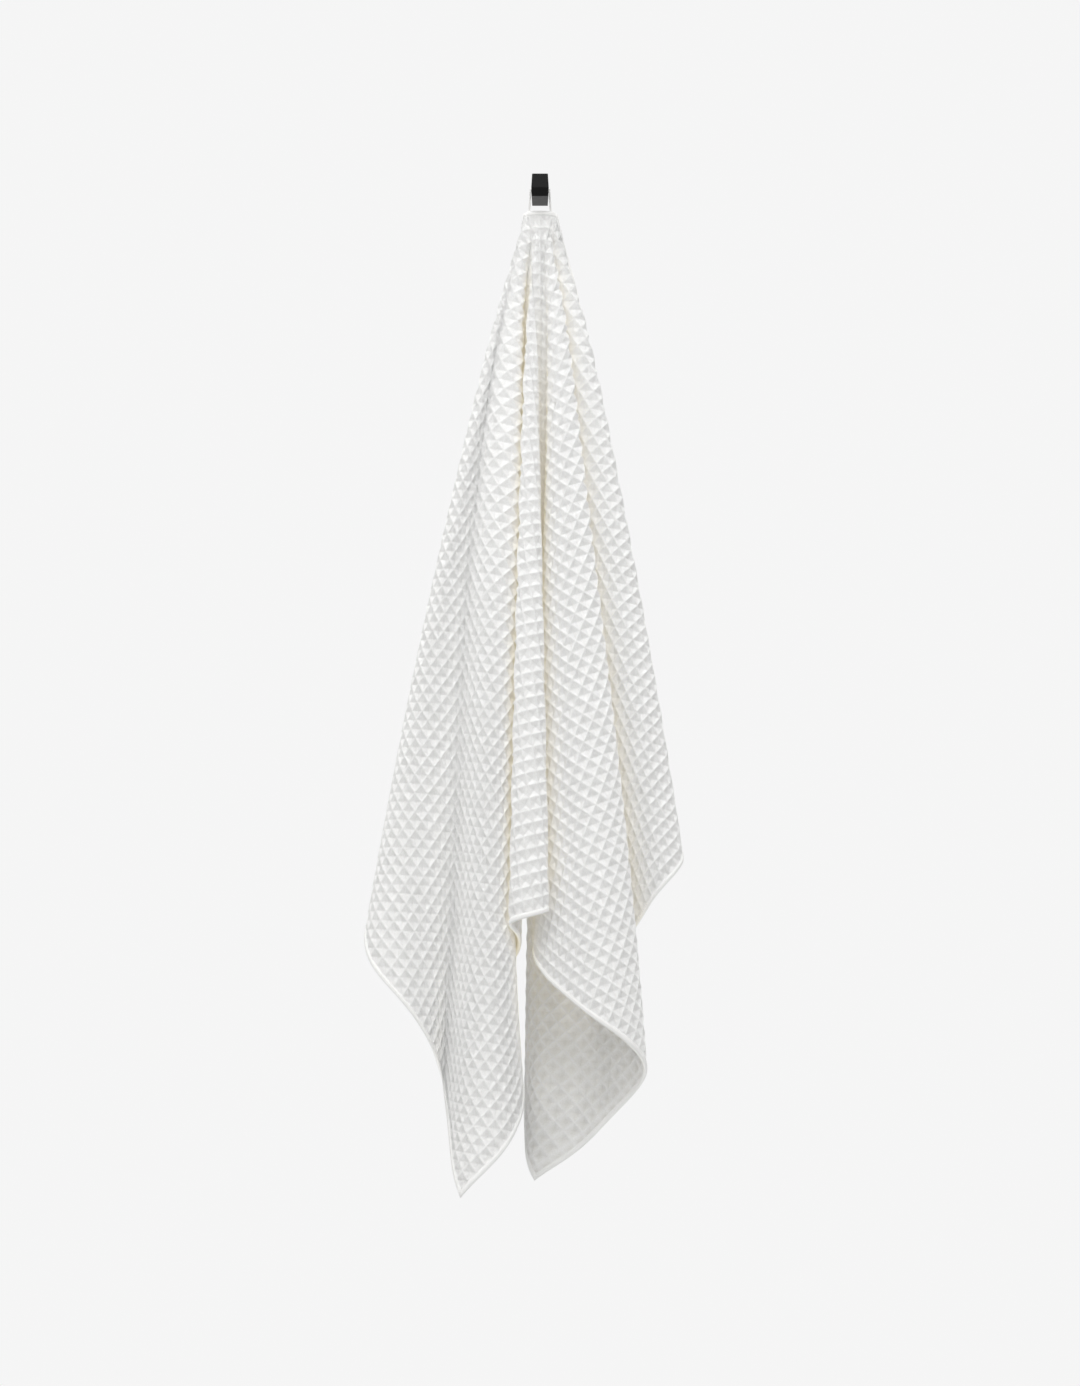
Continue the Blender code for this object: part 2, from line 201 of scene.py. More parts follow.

# Cotton: white, darker in its grain; painted warm shade in the folds and painted darker shade in the sunk
# cells of the back.
COTTON_LIGHT = (0.985, 0.985, 0.975)
COTTON_SHADE = (0.875, 0.873, 0.850)
COTTON_PAINTED_FOLD_SHADE = (0.95, 0.89, 0.74)
COTTON_PAINTED_CELL_SHADE = (0.62, 0.595, 0.51)
PAINTED_CELL_SHADE_SHARE = 0.33
TINT_SPAN = (0.30, 0.62)
GRAIN_SHARE = 0.7
COTTON_SURFACE = {"Roughness": 0.95, "Specular IOR Level": 0.2, "Sheen Weight": 0.15, "Sheen Roughness": 0.5}
# Painted glow: the cloth emits light where it is sheltered, standing in for light that comes through the thin
# cloth into its folds, white in the open ones and warm in the deep ones.
PAINTED_OPEN_GLOW = (0.96, 0.97, 1.0)
PAINTED_DEEP_GLOW = (1.0, 0.91, 0.68)
PAINTED_GLOW_STRENGTH = 0.31
PAINTED_GLOW_LOSS = 0.16
SHELTER_CURVE = 2.0
# Fine relief of the threads, the fuzz on them, the uneven lumps of the cloth and the squeezed cells.
THREAD_PITCH = 0.00102
THREAD_HEIGHT = 0.00030
FUZZ_HEIGHT = 0.00038
LUMP_HEIGHT = 0.0009
COLLAR_HEIGHT = 0.0060
# Every noise has its scale, its detail and its roughness.
PATCH_NOISE = (46.0, 3.0, 0.6)
GRAIN_NOISE = (650.0, 2.0, 0.65)
LUMP_NOISE = (380.0, 3.0, 0.6)
FUZZ_NOISE = (1500.0, 4.0, 0.7)

# Plain weave of the hem and of the tape. Both are white cotton given a grey as painted shade: the hem so it
# renders no brighter than the self-shaded waffle, the tape so it stands out against the pale background.
HEM_WEAVE = {
    "light": (0.820, 0.818, 0.805),
    "shade": (0.770, 0.767, 0.752),
    "pitch": 0.0011,
    "height": 0.00015,
}
TAPE_WEAVE = {
    "light": (0.90, 0.895, 0.875),
    "shade": (0.81, 0.80, 0.78),
    "pitch": 0.0009,
    "height": 0.00018,
}
WEAVE_NOISE = (1300.0, 4.0, 0.7)
WEAVE_SPAN = (0.25, 0.65)
WEAVE_SURFACE = {"Roughness": 0.9, "Specular IOR Level": 0.25, "Sheen Weight": 0.1}

# Hanging loop, as the solid has it: a narrow tape on edge.
TAPE_THICKNESS = 0.0018
TAPE_WIDTH = 0.0065
TAPE_ROUND = 0.0005
TAPE_ROUND_STEPS = 3
LOOP_FOOT = (0.0110, -0.0165)
LOOP_MIDDLE = (0.0104, -0.0066)
LOOP_TOP_HALF = 0.0098
LOOP_CROWN = 0.0062
LOOP_TOP_RADIUS = 0.0015
LOOP_STEPS = 8
SHARP_ANGLE = 50.0

# Stitches: short threads along the inner side of the hem, on both faces of the cloth.
STITCH_PITCH = 0.0040
STITCH_LENGTH = 0.0026
STITCH_HALF_WIDTH = 0.00035
STITCH_INSET = 0.0034
STITCH_RISE = 0.0021
# Corners of one stitch and then its crown: along it in stitch lengths, across and out of the cloth in half
# widths.
STITCH_SHAPE = (
    (-0.50, 0.0, -0.9),
    (-0.34, 1.0, 0.0),
    (0.34, 1.0, 0.0),
    (0.50, 0.0, -0.9),
    (0.34, -1.0, 0.0),
    (-0.34, -1.0, 0.0),
    (0.0, 0.0, 1.0),
)
STITCH_NOISE = (2600.0, 3.0, 0.5)
STITCH_FUZZ = 0.0001
# The stitches take the hem's grey on white thread, as painted shade.
STITCH_SURFACE = {"Base Color": (0.80, 0.795, 0.775, 1.0), "Roughness": 0.7}

# Hook: satin black paint.
PAINT_SHADE = (0.006, 0.006, 0.006)
PAINT_LIGHT = (0.009, 0.009, 0.009)
SPECKLE_NOISE = (900.0, 3.0, 0.6)
SPECKLE_SPAN = (0.3, 0.7)
WEAR_NOISE = (160.0, 3.0, 0.5)
WEAR_LEAST = 0.34
WEAR_SPREAD = 0.12
PEEL_NOISE = (1400.0, 2.0, 0.5)
PEEL_HEIGHT = 0.00005
PEEL_STRENGTH = 0.6
PAINT_SURFACE = {"Specular IOR Level": 0.07}

# Brightness of the surroundings, from straight down (0) over level (0.5) to straight up (1).
SKY = ((0.0, 0.40), (0.34, 0.915), (0.66, 0.915), (1.0, 1.8))
# Floor: a pale round patch well under the towel.
FLOOR_MIDDLE = (0.0, -0.1, -1.42)
FLOOR_RADIUS = 0.75
FLOOR_SIDES = 96
FLOOR_SHADE = (0.50, 0.50, 0.495)
FLOOR_LIGHT = (0.53, 0.53, 0.525)
FLOOR_NOISE = (5.0, 3.0, 0.5)
FLOOR_SPAN = (0.3, 0.7)
FLOOR_SURFACE = {"Roughness": 0.9}
LIGHTS = (
    # name, place, target, size, power in watts, colour
    ("key_light", (-0.20, -1.6, 1.5), (0.0, 0.0, -0.5), (1.1, 0.5), 17.0, (0.975, 0.985, 1.0)),
    ("side_light", (-1.2, -1.4, 0.6), (0.05, -0.05, -0.8), (0.5, 0.4), 4.5, (1.0, 0.985, 0.955)),
    ("top_light", (0.0, -0.5, 1.6), (0.0, -0.05, -0.5), (1.6, 1.2), 6.0, (0.97, 0.985, 1.0)),
)

# Sockets of the colour mix.
MIX_SHARE = 0
MIX_FIRST = 6
MIX_SECOND = 7
MIX_RESULT = 2


def softened(values, softness):
    """Values along the angles, averaged over a bell of the given width; the two ends stay where they are."""
    step = math.pi / ANGLE_STEPS
    half = int(math.ceil(BELL_REACH * softness / step))
    bell = np.exp(-0.5 * (np.arange(-half, half + 1) * step / softness) ** 2)
    before = 2.0 * values[0] - values[half:0:-1]
    after = 2.0 * values[-1] - values[-2:-half - 2:-1]
    return np.convolve(np.concatenate((before, values, after)), bell / bell.sum(), mode="valid")


def line_weights(reach):
    """Shares of the four LINE_LEVELS in a smooth curve through them, at one reach."""
    shares = []
    for own in LINE_LEVELS:
        share = 1.0
        for other in LINE_LEVELS:
            if other != own:
                share *= (reach - other) / (own - other)
        shares.append(share)
    return shares


def fold_plan():
    """Across and depth places of every line of pull, for a row of reaches from the held edge down."""
    table = np.array(FOLD_LINES)[::-1]
    angles = np.linspace(0.0, math.pi, ANGLE_STEPS + 1)
    row_angles = np.radians(table[:, 0])
    x350, x700, x930, y700, bow = (np.interp(angles, row_angles, column * MM) for column in table.T[1:])
    held_x = GATHER_HALF_WIDTH * np.cos(angles)
    across, depth = [], []
    for reach in np.linspace(0.0, LONGEST_REACH, REACH_STEPS + 1):
        shares = line_weights(reach)
        hang = shares[0] * held_x + shares[1] * x350 + shares[2] * x700 + shares[3] * x930
        near_top = reach / BOW_LEVEL
        hang = hang + bow * near_top ** 2 * math.exp(2.0 - 2.0 * near_top)
        softness = math.hypot(FOLD_SOFTNESS, BUNCH_RADIUS / (reach + BUNCH_START))
        across.append(held_x + softened(hang - held_x, softness))
        spread = (reach + DEPTH_AT_TOP) / (DEPTH_LEVEL + DEPTH_AT_TOP)
        depth.append(TOWEL_TOP[1] + spread * softened(y700 - TOWEL_TOP[1], softness))
    return np.array(across), np.array(depth)


ACROSS_PLAN, DEPTH_PLAN = fold_plan()


def read_plan(plan, reach, angle):
    """Value of a plan between its reaches and angles."""
    rows, columns = plan.shape[0] - 1, plan.shape[1] - 1
    row = np.clip(reach / LONGEST_REACH * rows, 0.0, rows - TINY)
    column = np.clip(angle / math.pi * columns, 0.0, columns - TINY)
    r0, c0 = row.astype(int), column.astype(int)
    fr, fc = row - r0, column - c0
    upper = plan[r0, c0] * (1.0 - fc) + plan[r0, c0 + 1] * fc
    lower = plan[r0 + 1, c0] * (1.0 - fc) + plan[r0 + 1, c0 + 1] * fc
    return upper * (1.0 - fr) + lower * fr


def pull_lines(u, v):
    """Angle and length of the line of pull that reaches the flat cloth's point (u, v).

    The loop holds a short stretch of the edge, so the lines start side by side along it and fan out.
    """
    fan = np.arccosh((u + 1j * v) / GATHER_HALF_WIDTH + 0j)
    run, angle = np.abs(fan.real), np.abs(fan.imag)
    nodes, shares = np.polynomial.legendre.leggauss(LENGTH_NODES)
    length = np.zeros_like(run)
    for node, share in zip(nodes, shares):
        at = 0.5 * run * (node + 1.0)
        length += 0.5 * run * share * np.sqrt(np.sinh(at) ** 2 + np.sin(angle) ** 2)
    stretch = np.where(angle < 0.5 * math.pi, BIAS_STRETCH[0], BIAS_STRETCH[1])
    return angle, GATHER_HALF_WIDTH * length * (1.0 + stretch * np.sin(2.0 * angle) ** 2)


def towel_points(u, v):
    """Hung places of the flat cloth's points (u, v)."""
    angle, reach = pull_lines(u, v)
    x = read_plan(ACROSS_PLAN, reach, angle)
    y = read_plan(DEPTH_PLAN, reach, angle)
    start = np.zeros_like(reach)
    away_x = x - read_plan(ACROSS_PLAN, start, angle)
    away_y = y - read_plan(DEPTH_PLAN, start, angle)
    drop = np.sqrt(np.maximum(reach ** 2 - away_x ** 2 - away_y ** 2, 0.0))
    return np.stack((x + TOWEL_TOP[0], y, TOWEL_TOP[2] - drop), axis=-1)


def sheet_normals(u, v):
    """Unit normals of the hung cloth, from short steps in the flat cloth."""
    half = 0.5 * TOWEL_LENGTH
    u0, u1 = np.clip(u - NORMAL_STEP, -half, half), np.clip(u + NORMAL_STEP, -half, half)
    v0, v1 = np.clip(v - NORMAL_STEP, 0.0, TOWEL_DROP), np.clip(v + NORMAL_STEP, 0.0, TOWEL_DROP)
    along = towel_points(u1, v) - towel_points(u0, v)
    down = towel_points(u, v1) - towel_points(u, v0)
    normal = np.cross(down, along)
    return normal / np.linalg.norm(normal, axis=-1, keepdims=True)


def section_bend():
    """Bend of the hung sections, 1 / radius, for the same reaches and angles as the plans."""
    dx, dy = np.gradient(ACROSS_PLAN, axis=1), np.gradient(DEPTH_PLAN, axis=1)
    ddx, ddy = np.gradient(dx, axis=1), np.gradient(dy, axis=1)
    run = np.maximum(dx * dx + dy * dy, TINY * TINY) ** 1.5
    return (dx * ddy - dy * ddx) / run


BEND_PLAN = section_bend()


def inner_limit(u, v, normal, height):
    """Height over the middle of the cloth, kept within a share of the radius on the inside of a bend."""
    angle, reach = pull_lines(u, v)
    bend = read_plan(BEND_PLAN, reach, angle)
    turn = math.pi / ANGLE_STEPS
    ahead = np.minimum(angle + turn, math.pi)
    behind = np.maximum(angle - turn, 0.0)
    across = read_plan(ACROSS_PLAN, reach, ahead) - read_plan(ACROSS_PLAN, reach, behind)
    inward = read_plan(DEPTH_PLAN, reach, ahead) - read_plan(DEPTH_PLAN, reach, behind)
    size = np.maximum(np.hypot(across, inward), TINY)
    lean = (-inward * normal[..., 0] + across * normal[..., 1]) / size
    squeeze = np.maximum(height * lean * bend / INNER_SHARE, 1.0)
    return height / squeeze


def fold_shelter():
    """Share of each point's outlook that other folds close off: a plan for the front and one for the back."""
    angles = np.linspace(0.0, math.pi, SHELTER_ANGLES + 1)
    corner = np.maximum(np.abs(np.cos(angles)) / (0.5 * TOWEL_LENGTH), np.sin(angles) / TOWEL_DROP)
    rays = np.exp(2j * math.pi * (np.arange(SHELTER_RAYS) + 0.5) / SHELTER_RAYS)
    fronts, backs = [], []
    for reach in np.linspace(0.0, LONGEST_REACH, SHELTER_REACHES + 1):
        level = np.full_like(angles, reach)
        place = read_plan(ACROSS_PLAN, level, angles) + 1j * read_plan(DEPTH_PLAN, level, angles)
        heading = np.gradient(place)
        facing = 1j * heading / np.maximum(np.abs(heading), TINY)
        # The stretches of this level that lie on the cloth and not past its corners.
        there = reach * corner[:-1] < 1.0
        shut, whole = np.zeros((2, len(angles))), np.zeros((2, len(angles)))
        for ray in rays:
            lean = (facing * np.conj(ray)).real
            turned = place * np.conj(ray)
            eye = (place + SHELTER_LIFT * facing * np.sign(lean)) * np.conj(ray)
            begin, end = turned[None, :-1], turned[None, 1:]
            rise = end.imag - begin.imag
            along = (eye.imag[:, None] - begin.imag) / np.where(np.abs(rise) < TINY, TINY, rise)
            met = begin.real + along * (end.real - begin.real)
            hit = (along >= 0.0) & (along <= 1.0) & (met > eye.real[:, None]) & there
            blocked = np.any(hit, axis=1)
            for side, share in enumerate((np.maximum(lean, 0.0), np.maximum(-lean, 0.0))):
                shut[side] += share * blocked
                whole[side] += share
        fronts.append(shut[0] / whole[0])
        backs.append(BACK_SHELTER * shut[1] / whole[1])
    return np.array(fronts), np.array(backs)


SHELTER_PLANS = fold_shelter()


def waffle_lines(length, cells):
    """Places of the grid lines across one side of the cloth, and their numbers.

    The waffle has the numbers 0 to twice its cells; the hem's are below and above them.
    """
    waffle = np.linspace(HEM_BAND, length - HEM_BAND, 2 * cells + 1)
    hem = np.array(HEM_LINES)
    places = np.concatenate((hem, waffle, length - hem[::-1]))
    return places, np.arange(len(places)) - len(HEM_LINES)


def waffle_heights(rows, columns):
    """Height of the front and of the back over the middle of the cloth, at every crossing of the lines."""
    i, j = np.meshgrid(rows, columns, indexing="ij")
    odd = (i % 2) + (j % 2)
    front = np.choose(odd, (RIDGE_CROSSING, RIDGE_MIDDLE, CELL_FLOOR))
    back = np.choose(odd, (CELL_FLOOR, RIDGE_MIDDLE, RIDGE_CROSSING))
    depth = np.minimum(np.minimum(i, 2 * CELLS_LONG - i), np.minimum(j, 2 * CELLS_SHORT - j))
    for side in (front, back):
        side[depth == 0] = SEAM_HEIGHT
        for ring, height in enumerate(HEM_HEIGHTS):
            side[depth == ring - len(HEM_HEIGHTS)] = height
    return front, back


def eased(value, start, end):
    """0 up to the start, 1 from the end on, and a smooth rise between."""
    share = np.clip((value - start) / (end - start), 0.0, 1.0)
    return share * share * (3.0 - 2.0 * share)


def squeezed(u, v, heights):
    """Heights of the relief, lower where the cloth is bunched near the held edge."""
    share = eased(pull_lines(u, v)[1], SQUEEZE_FROM, SQUEEZE_TO)
    return heights * (SQUEEZED_SHARE + (1.0 - SQUEEZED_SHARE) * share)


def cloth_surfaces(u, v, rows, columns):
    """Points of the front and of the back: cell floors of one lie behind ridges of the other."""
    middle, normal = towel_points(u, v), sheet_normals(u, v)
    front, back = waffle_heights(rows, columns)
    front = inner_limit(u, v, normal, squeezed(u, v, front))
    back = inner_limit(u, v, -normal, squeezed(u, v, back))
    outer = middle + normal * np.maximum(front, THINNEST - back)[..., None]
    inner = middle - normal * np.maximum(back, THINNEST - front)[..., None]
    return outer.reshape(-1, 3), inner.reshape(-1, 3)


def cloth_faces(rows, columns):
    """Triangles of the front, of the back and of the rim that joins them, and how many the rim has."""
    index = np.arange(len(rows) * len(columns)).reshape(len(rows), len(columns))
    a, b, c, d = index[:-1, :-1], index[1:, :-1], index[1:, 1:], index[:-1, 1:]
    # Each square's diagonal runs from a ridge crossing to a cell floor, so every cell is a low pyramid.
    even = ((rows[:-1, None] + columns[None, :-1]) % 2 == 0)[..., None]
    first = np.where(even, np.stack((a, b, c), -1), np.stack((a, b, d), -1)).reshape(-1, 3)
    second = np.where(even, np.stack((a, c, d), -1), np.stack((b, c, d), -1)).reshape(-1, 3)
    side = np.concatenate((first, second))
    rim = np.concatenate((index[:, 0], index[-1, 1:], index[-2::-1, -1], index[0, -2:0:-1]))
    after = np.roll(rim, -1)
    under = index.size
    faces = np.concatenate((
        side[:, ::-1],
        side + under,
        np.stack((rim, after, after + under), -1),
        np.stack((rim, after + under, rim + under), -1),
    ))
    return faces, 2 * len(rim)


def cloth_slots(rows, columns, rim_count):
    """Material slot of every triangle: 0 in the waffle, 1 in the hem and along the rim."""
    from_left = np.minimum(rows[:-1], 2 * CELLS_LONG - 1 - rows[:-1])
    from_top = np.minimum(columns[:-1], 2 * CELLS_SHORT - 1 - columns[:-1])
    in_hem = np.minimum(from_left[:, None], from_top[None, :]) < 0
    # Every square of the grid has two triangles on the front and two on the back.
    on_faces = np.tile(in_hem.reshape(-1), 4)
    return np.concatenate((on_faces, np.ones(rim_count, bool))).astype(np.int32)


def cloth_marks(u, v, rows, columns):
    """Numbers that the materials read at each point of the front and then of the back.

    Shelter is the share of the outlook that is closed off, which sets the painted fold shade and glow; collar
    is 1 near the held edge; and the cell shade mark is 1 at the middles of the back's sunk cells, darkened
    there as painted shade.
    """
    angle, reach = pull_lines(u, v)
    shelter = np.concatenate([read_plan(plan, reach, angle).reshape(-1) for plan in SHELTER_PLANS])
    collar = np.tile((1.0 - eased(reach, COLLAR_FROM, COLLAR_TO)).reshape(-1), 2)
    sunk_rows = (rows >= 0) & (rows <= 2 * CELLS_LONG) & (rows % 2 == 0)
    sunk_columns = (columns >= 0) & (columns <= 2 * CELLS_SHORT) & (columns % 2 == 0)
    sunk = (sunk_rows[:, None] & sunk_columns[None, :]).reshape(-1).astype(float)
    # Marks the back's sunk cells, where painted shade darkens the colour.
    painted_cell_shade_mask = np.concatenate((np.zeros(len(sunk)), sunk))
    return {"shelter": shelter, "collar": collar, "painted_cell_shade_mask": painted_cell_shade_mask}


def build_towel():
    """The cloth with its waffle and hem: one closed sheet with both faces in relief."""
    u_lines, rows = waffle_lines(TOWEL_LENGTH, CELLS_LONG)
    v_lines, columns = waffle_lines(TOWEL_DROP, CELLS_SHORT)
    u, v = np.meshgrid(u_lines - 0.5 * TOWEL_LENGTH, v_lines, indexing="ij")
    faces, rim_count = cloth_faces(rows, columns)
    verts = np.concatenate(cloth_surfaces(u, v, rows, columns))
    mesh = bpy.data.meshes.new("towel_cloth")
    mesh.from_pydata(verts.tolist(), [], faces.tolist())
    flat = np.tile(np.stack((u.reshape(-1) + 0.5 * TOWEL_LENGTH, v.reshape(-1)), -1), (2, 1))
    layer = mesh.uv_layers.new(name="cloth")
    corner = np.empty(len(mesh.loops), np.int32)
    mesh.loops.foreach_get("vertex_index", corner)
    layer.data.foreach_set("uv", flat[corner].reshape(-1).astype(np.float32))
    for name, values in cloth_marks(u, v, rows, columns).items():
        mesh.attributes.new(name, "FLOAT", "POINT").data.foreach_set("value", values.astype(np.float32))
    mesh.materials.append(waffle_material())
    # The hem takes the painted fold shade and painted glow as well.
    mesh.materials.append(plain_weave("white_hem_look", HEM_WEAVE, takes_painted_fold_light=True))
    # The waffle keeps its flat facets and the hem is smooth.
    slots = cloth_slots(rows, columns, rim_count)
    mesh.polygons.foreach_set("material_index", slots)
    mesh.polygons.foreach_set("use_smooth", slots.astype(bool))
    return link("towel_cloth", mesh)


def link(name, mesh):
    thing = bpy.data.objects.new(name, mesh)
    bpy.context.scene.collection.objects.link(thing)
    return thing


def turn_faces_out(mesh):
    edit = bmesh.new()
    edit.from_mesh(mesh)
    bmesh.ops.recalc_face_normals(edit, faces=edit.faces)
    edit.to_mesh(mesh)
    edit.free()


def smooth_faces(mesh):
    mesh.polygons.foreach_set("use_smooth", [True] * len(mesh.polygons))


class Nodes:
    """Short names for building a shader."""

    def __init__(self, name):
        self.material = bpy.data.materials.new(name)
        self.material.use_nodes = True
        self.tree = self.material.node_tree
        self.shader = self.tree.nodes["Principled BSDF"]

    def add(self, kind, **settings):
        node = self.tree.nodes.new(kind)
        for key, value in settings.items():
            setattr(node, key, value)
        return node

    def join(self, out, into):
        self.tree.links.new(out, into)

    def shade(self, **outs):
        """Join results to the shader's own sockets; an underscore stands for a space in a socket's name."""
        for name, out in outs.items():
            self.join(out, self.shader.inputs[name.replace("_", " ")])

    def surface(self, values):
        """Numbers and colours that are the same all over the surface."""
        for name, value in values.items():
            self.shader.inputs[name].default_value = value

    def cloth_place(self):
        """Place on the flat cloth, whole and as its two parts."""
        place = self.add("ShaderNodeUVMap", uv_map="cloth").outputs[0]
        parts = self.add("ShaderNodeSeparateXYZ")
        self.join(place, parts.inputs[0])
        return place, (parts.outputs[0], parts.outputs[1])

    def object_place(self):
        return self.add("ShaderNodeTexCoord").outputs["Object"]

    def mark(self, name):
        """One of the cloth's marks."""
        return self.add("ShaderNodeAttribute", attribute_name=name).outputs["Fac"]

    def math(self, operation, first, second=None):
        node = self.add("ShaderNodeMath", operation=operation)
        for socket, value in zip(node.inputs, (first, second)):
            if isinstance(value, (int, float)):
                socket.default_value = value
            elif value is not None:
                self.join(value, socket)
        return node.outputs[0]

    def noise(self, place, settings):
        node = self.add("ShaderNodeTexNoise")
        for name, value in zip(("Scale", "Detail", "Roughness"), settings):
            node.inputs[name].default_value = value
        self.join(place, node.inputs["Vector"])
        return node.outputs[0]

    def ramp(self, value, span, dark, light):
        """A run of colours, from dark at the start of the span to light at its end."""
        node = self.add("ShaderNodeValToRGB")
        for element, position, colour in zip(node.color_ramp.elements, span, (dark, light)):
            element.position = position
            element.color = (*colour, 1.0)
        self.join(value, node.inputs[0])
        return node.outputs[0]

    def mixed(self, share, colour, other):
        """The colour, with a share of one other colour."""
        mix = self.add("ShaderNodeMix", data_type="RGBA")
        self.join(share, mix.inputs[MIX_SHARE])
        self.join(colour, mix.inputs[MIX_FIRST])
        mix.inputs[MIX_SECOND].default_value = (*other, 1.0)
        return mix.outputs[MIX_RESULT]

    def with_painted_fold_light(self, colour):
        """The colour with painted warm shade where the cloth is sheltered, and a painted glow there that
        stands in for light let through.
        """
        shelter = self.mark("shelter")
        deep = self.math("POWER", shelter, SHELTER_CURVE)
        share = self.math("SUBTRACT", PAINTED_GLOW_STRENGTH, self.math("MULTIPLY", deep, PAINTED_GLOW_LOSS))
        glow = self.ramp(deep, (0.0, 1.0), PAINTED_OPEN_GLOW, PAINTED_DEEP_GLOW)
        # Painted glow in the sheltered folds, and painted warm shade mixed into the colour there.
        self.shade(Emission_Color=glow, Emission_Strength=self.math("MULTIPLY", shelter, share))
        return self.mixed(deep, colour, COTTON_PAINTED_FOLD_SHADE)

    def with_painted_cell_shade(self, colour):
        """The colour, darker in the sunk cells of the back as painted shade, where the light is too even to
        draw them.
        """
        return self.mixed(self.math("MULTIPLY", self.mark("painted_cell_shade_mask"), PAINTED_CELL_SHADE_SHARE), colour, COTTON_PAINTED_CELL_SHADE)

    def bump(self, height, distance, under=None, strength=1.0):
        node = self.add("ShaderNodeBump")
        node.inputs["Distance"].default_value = distance
        node.inputs["Strength"].default_value = strength
        self.join(height, node.inputs["Height"])
        if under is not None:
            self.join(under, node.inputs["Normal"])
        return node.outputs[0]


def waffle_material():
    """White cotton; the long threads of each sunk cell run in squares round its middle."""
    n = Nodes("white_waffle_cotton_look")
    place, parts = n.cloth_place()
    away = []
    for part, length, cells in zip(parts, (TOWEL_LENGTH, TOWEL_DROP), (CELLS_LONG, CELLS_SHORT)):
        pitch = (length - 2.0 * HEM_BAND) / cells
        cell = n.math("MULTIPLY", n.math("SUBTRACT", part, HEM_BAND), 1.0 / pitch)
        away.append(n.math("ABSOLUTE", n.math("SUBTRACT", n.math("FRACT", cell), 0.5)))
    square = n.math("MAXIMUM", away[0], away[1])
    threads = n.math("SINE", n.math("MULTIPLY", square, 2.0 * math.pi * CELL_SIZE / THREAD_PITCH))
    patches = n.math("MULTIPLY", n.noise(place, PATCH_NOISE), 1.0 - GRAIN_SHARE)
    grain = n.math("MULTIPLY", n.noise(place, GRAIN_NOISE), GRAIN_SHARE)
    tint = n.ramp(n.math("ADD", patches, grain), TINT_SPAN, COTTON_SHADE, COTTON_LIGHT)
    normal = n.bump(n.math("MULTIPLY", square, n.mark("collar")), COLLAR_HEIGHT)
    normal = n.bump(n.noise(place, LUMP_NOISE), LUMP_HEIGHT, normal)
    normal = n.bump(threads, THREAD_HEIGHT, normal)
    normal = n.bump(n.noise(place, FUZZ_NOISE), FUZZ_HEIGHT, normal)
    # The base colour carries the painted fold shade and glow, and painted shade in the back's sunk cells.
    n.shade(Base_Color=n.with_painted_cell_shade(n.with_painted_fold_light(tint)), Normal=normal)
    n.surface(COTTON_SURFACE)
    return n.material


def plain_weave(name, weave, takes_painted_fold_light=False):
    """A fine plain weave; the hem's weave also takes the painted warm shade and painted glow of the folds."""
    n = Nodes(name)
    place, parts = n.cloth_place()
    turns = [n.math("MULTIPLY", part, 2.0 * math.pi / weave["pitch"]) for part in parts]
    crossings = n.math("MULTIPLY", n.math("SINE", turns[0]), n.math("SINE", turns[1]))
    fuzz = n.noise(place, WEAVE_NOISE)
    colour = n.ramp(fuzz, WEAVE_SPAN, weave["shade"], weave["light"])
    normal = n.bump(fuzz, 0.5 * weave["height"], n.bump(crossings, weave["height"]))
    n.shade(Base_Color=n.with_painted_fold_light(colour) if takes_painted_fold_light else colour, Normal=normal)
    n.surface(WEAVE_SURFACE)
    return n.material


def loop_line():
    """Middle line of the tape, (x, z), from its left foot over the arm to its right foot."""
    shoulder = LOOP_CROWN - LOOP_TOP_RADIUS
    line = [(-LOOP_FOOT[0], LOOP_FOOT[1]), (-LOOP_MIDDLE[0], LOOP_MIDDLE[1])]
    for side in (-1, 1):
        for i in range(LOOP_STEPS + 1):
            turn = 0.5 * math.pi * (i / LOOP_STEPS if side < 0 else 1.0 - i / LOOP_STEPS)
            x = side * (LOOP_TOP_HALF - LOOP_TOP_RADIUS + LOOP_TOP_RADIUS * math.cos(turn))
            line.append((x, shoulder + LOOP_TOP_RADIUS * math.sin(turn)))
    line += [(LOOP_MIDDLE[0], LOOP_MIDDLE[1]), (LOOP_FOOT[0], LOOP_FOOT[1])]
    return np.array(line)


def tape_section():
    """Outline of the tape's section, (thickness, width), with rounded edges."""
    half_t, half_w = 0.5 * TAPE_THICKNESS, 0.5 * TAPE_WIDTH
    section = []
    for side_t, side_w, start in ((-1, -1, 180.0), (1, -1, -90.0), (1, 1, 0.0), (-1, 1, 90.0)):
        for k in range(TAPE_ROUND_STEPS + 1):
            turn = math.radians(start + 90.0 * k / TAPE_ROUND_STEPS)
            t = side_t * (half_t - TAPE_ROUND) + TAPE_ROUND * math.cos(turn)
            w = side_w * (half_w - TAPE_ROUND) + TAPE_ROUND * math.sin(turn)
            section.append((t, w))
    return section


